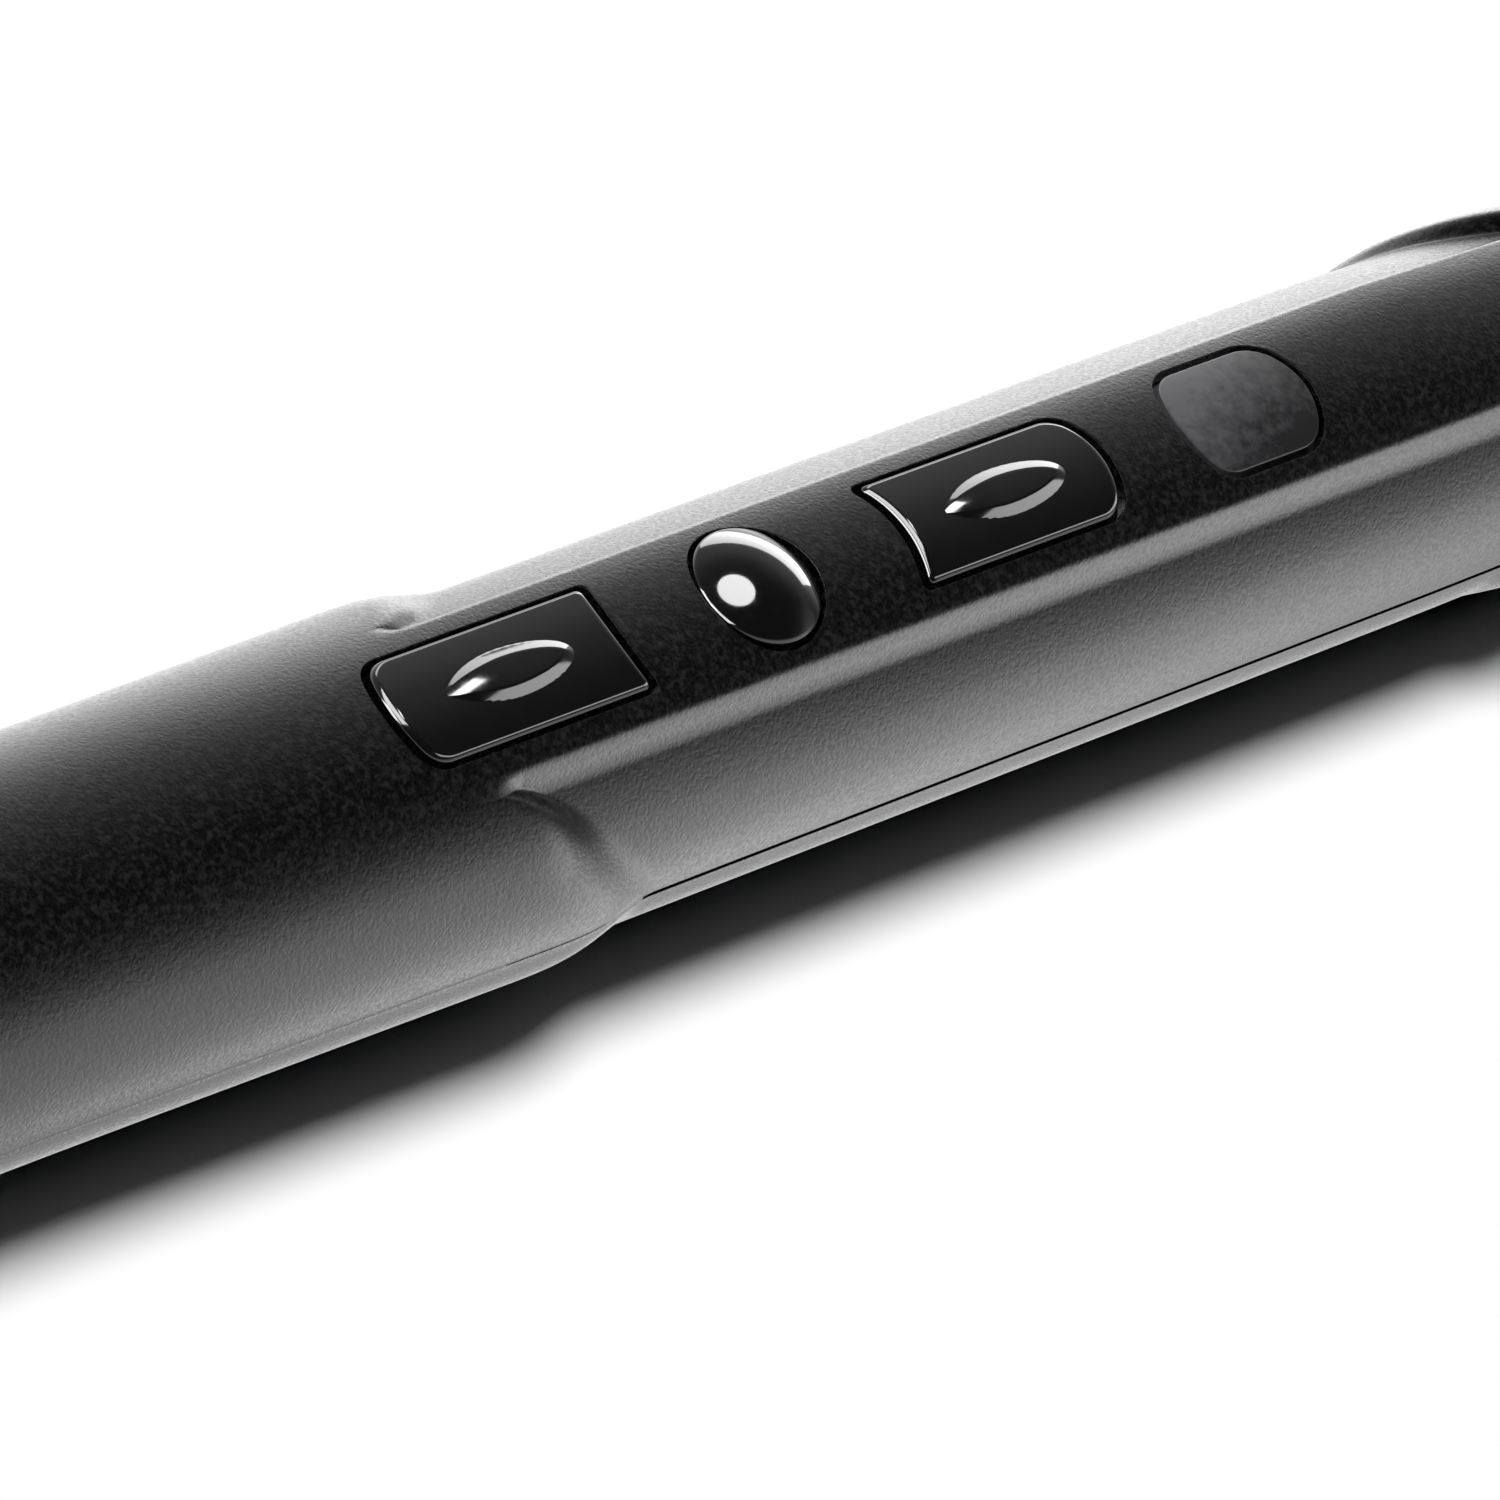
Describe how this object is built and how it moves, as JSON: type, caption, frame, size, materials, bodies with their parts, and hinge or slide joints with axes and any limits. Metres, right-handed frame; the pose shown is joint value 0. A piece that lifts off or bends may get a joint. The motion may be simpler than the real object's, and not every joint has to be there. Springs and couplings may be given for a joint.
{
  "type": "hand-held body scanner wand",
  "caption": "Slim round hand-held scanner wand with a scooped grip, thumb keys beside a domed key, an alarm window, sensing coils in the tube and a screw-off battery cap.",
  "frame": {"origin": "on the resting face under the middle of the wand", "axes": "+X from the sensing nose to the battery cap, +Z out of the key panel"},
  "size_m": [0.4198, 0.031, 0.0304],
  "materials": {
    "shell": "fine spark-eroded texture, satin",
    "key": "polished",
    "window": "frosted, smoke grey",
    "board": "solder resist",
    "switch": "moulded",
    "plunger": "moulded",
    "led": "clear tinted",
    "steel": "plated",
    "cell": "plain sleeve",
    "seal": "moulded",
    "bobbin": "moulded",
    "coil": "enamelled copper wire"
  },
  "bodies": {
    "housing": {"upper_shell": "shell", "lower_shell": "shell", "alarm_window": "window", "main_board": "board", "nose_switch": "switch", "dome_switch": "switch", "tail_switch": "switch", "alarm_led": "led", "sounder": "switch", "vibration_motor": "steel", "battery_sleeve": "switch", "battery_cell": "cell", "front_contact": "steel", "front_bobbin": "bobbin", "rear_bobbin": "bobbin", "front_coil": "coil", "rear_coil": "coil", "shell_screw_1": "steel", "shell_screw_2": "steel", "shell_screw_3": "steel", "shell_screw_4": "steel"},
    "nose_key": {"nose_key": "key", "nose_plunger": "plunger"},
    "dome_key": {"dome_key": "key", "dome_plunger": "plunger"},
    "tail_key": {"tail_key": "key", "tail_plunger": "plunger"},
    "vibration_weight": {"vibration_weight": "steel"},
    "cap_ring": {"cap_seal": "seal", "cap_spring": "steel"},
    "battery_cap": {"battery_cap": "shell"}
  },
  "joints": [
    {"name": "nose_key_press", "type": "slide", "parent": "housing", "child": "nose_key", "axis": [0, 0, -1], "range_m": [0, 0.0008], "stiffness_N_per_m": 3000},
    {"name": "dome_key_press", "type": "slide", "parent": "housing", "child": "dome_key", "axis": [0, 0, -1], "range_m": [0, 0.0008], "stiffness_N_per_m": 3000},
    {"name": "tail_key_press", "type": "slide", "parent": "housing", "child": "tail_key", "axis": [0, 0, -1], "range_m": [0, 0.0008], "stiffness_N_per_m": 3000},
    {"name": "weight_spin", "type": "hinge", "parent": "housing", "child": "vibration_weight", "pos_m": [0.0636, 0, 0.0058], "axis": [1, 0, 0], "continuous": true},
    {"name": "cap_slide", "type": "slide", "parent": "housing", "child": "cap_ring", "axis": [1, 0, 0], "range_m": [0, 0.006]},
    {"name": "cap_turn", "type": "hinge", "parent": "cap_ring", "child": "battery_cap", "pos_m": [0.183, 0, 0.0141], "axis": [1, 0, 0], "range_deg": [0, 1080]}
  ],
  "couplings": [
    {"joint": "cap_slide", "follows": "cap_turn", "m_per_rad": 0.000318}
  ]
}
